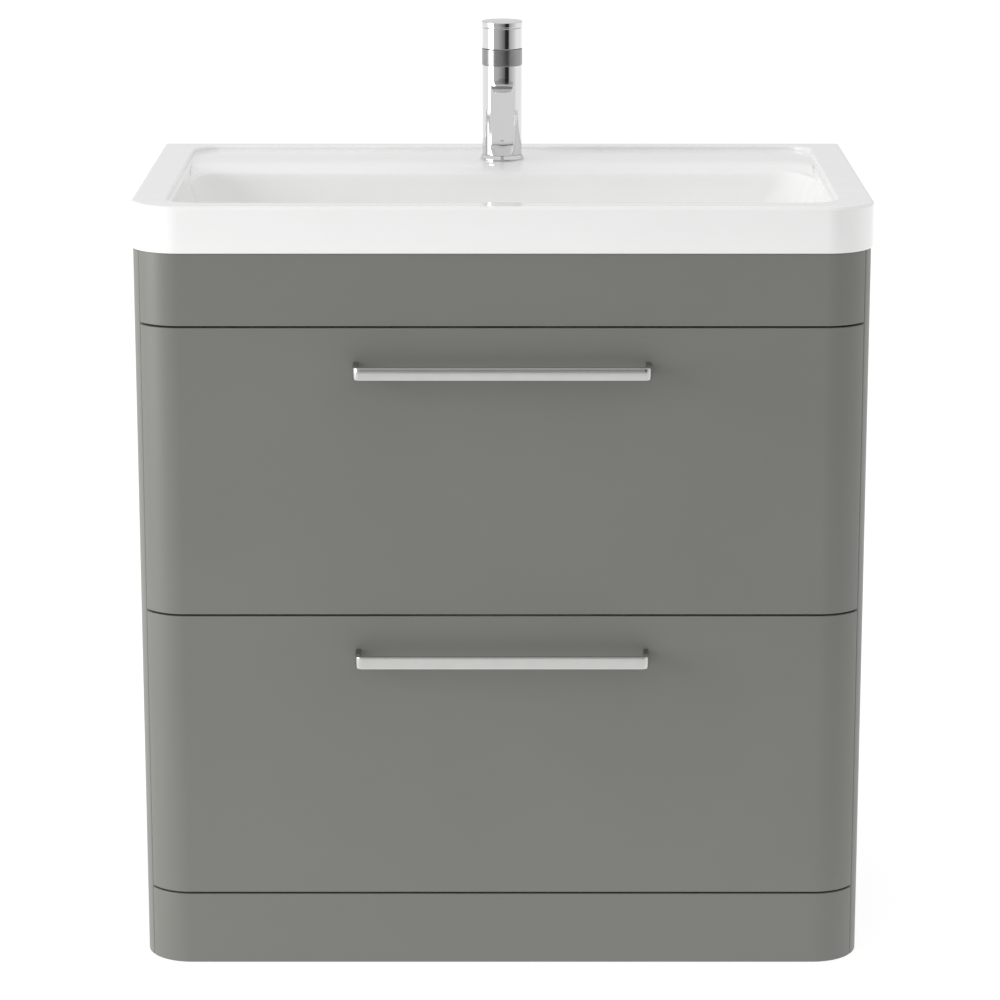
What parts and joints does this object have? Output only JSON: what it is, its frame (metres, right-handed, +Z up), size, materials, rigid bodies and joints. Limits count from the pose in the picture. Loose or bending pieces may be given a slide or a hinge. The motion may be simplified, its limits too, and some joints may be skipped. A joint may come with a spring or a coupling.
{
  "type": "bathroom vanity cabinet",
  "caption": "Floor-standing bathroom vanity with round front corners, pull-out drawers, bar handles, an inset ceramic basin and a single-hole mixer tap.",
  "frame": {"origin": "at floor level, in the middle of the width and depth of the whole object, handles included", "axes": "+X to the right as seen from the front, the front faces -Y and the wall is at +Y, +Z up"},
  "size_m": [0.805, 0.501, 1.013],
  "materials": {
    "paint": "satin grey paint on MDF",
    "board": "matt white melamine on particle board, fine grain",
    "timber": "bare softwood",
    "runner_steel": "zinc-plated steel",
    "ceramic": "gloss white glaze",
    "handle_metal": "satin chrome",
    "chrome": "polished chrome",
    "satin_steel": "satin steel",
    "brass": "plain brass",
    "trap_plastic": "white moulded plastic"
  },
  "bodies": {
    "cabinet": {"side_panel_left": "paint", "side_panel_right": "paint", "base_panel": "board", "plinth_board": "paint", "front_fascia": "paint", "top_front_rail": "board", "top_back_rail": "board", "back_panel": "board", "corner_blocks": "timber", "carcass_dowels": "timber", "wall_brackets": "runner_steel", "runner_screws": "runner_steel", "upper_left_rail": "runner_steel", "upper_right_rail": "runner_steel", "lower_left_rail": "runner_steel", "lower_right_rail": "runner_steel", "basin": "ceramic", "tap_base_ring": "chrome", "tap_body": "chrome", "tap_trim_ring": "satin_steel", "tap_aerator": "satin_steel", "tap_stud": "brass", "tap_washer": "satin_steel", "tap_nut": "brass", "waste_flange": "chrome", "waste_nut": "brass", "trap_nut": "trap_plastic", "trap_body": "trap_plastic", "trap_cup": "trap_plastic", "trap_outlet_pipe": "trap_plastic"},
    "upper_drawer": {"upper_left_slide": "runner_steel", "upper_right_slide": "runner_steel", "upper_drawer_front": "paint", "upper_box_front": "board", "upper_box_side_left": "board", "upper_box_side_right": "board", "upper_box_back_left": "board", "upper_box_back_right": "board", "upper_recess_side_left": "board", "upper_recess_side_right": "board", "upper_recess_end": "board", "upper_box_bottom": "board", "upper_drawer_screws": "runner_steel", "upper_handle": "handle_metal"},
    "lower_drawer": {"lower_left_slide": "runner_steel", "lower_right_slide": "runner_steel", "lower_drawer_front": "paint", "lower_box_front": "board", "lower_box_side_left": "board", "lower_box_side_right": "board", "lower_box_back": "board", "lower_box_bottom": "board", "lower_drawer_screws": "runner_steel", "lower_handle": "handle_metal"},
    "upper_runners": {"upper_left_middle": "runner_steel", "upper_right_middle": "runner_steel"},
    "lower_runners": {"lower_left_middle": "runner_steel", "lower_right_middle": "runner_steel"},
    "tap_knob": {"tap_handle": "chrome"},
    "plug": {"waste_plug": "chrome"}
  },
  "joints": [
    {"name": "upper_drawer_slide", "type": "slide", "parent": "cabinet", "child": "upper_drawer", "axis": [0, -1, 0], "range_m": [0, 0.38]},
    {"name": "upper_runner_slide", "type": "slide", "parent": "cabinet", "child": "upper_runners", "axis": [0, -1, 0], "range_m": [0, 0.19]},
    {"name": "lower_drawer_slide", "type": "slide", "parent": "cabinet", "child": "lower_drawer", "axis": [0, -1, 0], "range_m": [0, 0.38]},
    {"name": "lower_runner_slide", "type": "slide", "parent": "cabinet", "child": "lower_runners", "axis": [0, -1, 0], "range_m": [0, 0.19]},
    {"name": "tap_turn", "type": "hinge", "parent": "cabinet", "child": "tap_knob", "pos_m": [0, 0.1625, 0.972], "axis": [0, 0, 1], "range_deg": [0, 100]},
    {"name": "plug_lift", "type": "slide", "parent": "cabinet", "child": "plug", "axis": [0, 0, 1], "range_m": [0, 0.008]}
  ],
  "couplings": [
    {"joint": "upper_runner_slide", "follows": "upper_drawer_slide", "ratio": 0.5},
    {"joint": "lower_runner_slide", "follows": "lower_drawer_slide", "ratio": 0.5}
  ]
}
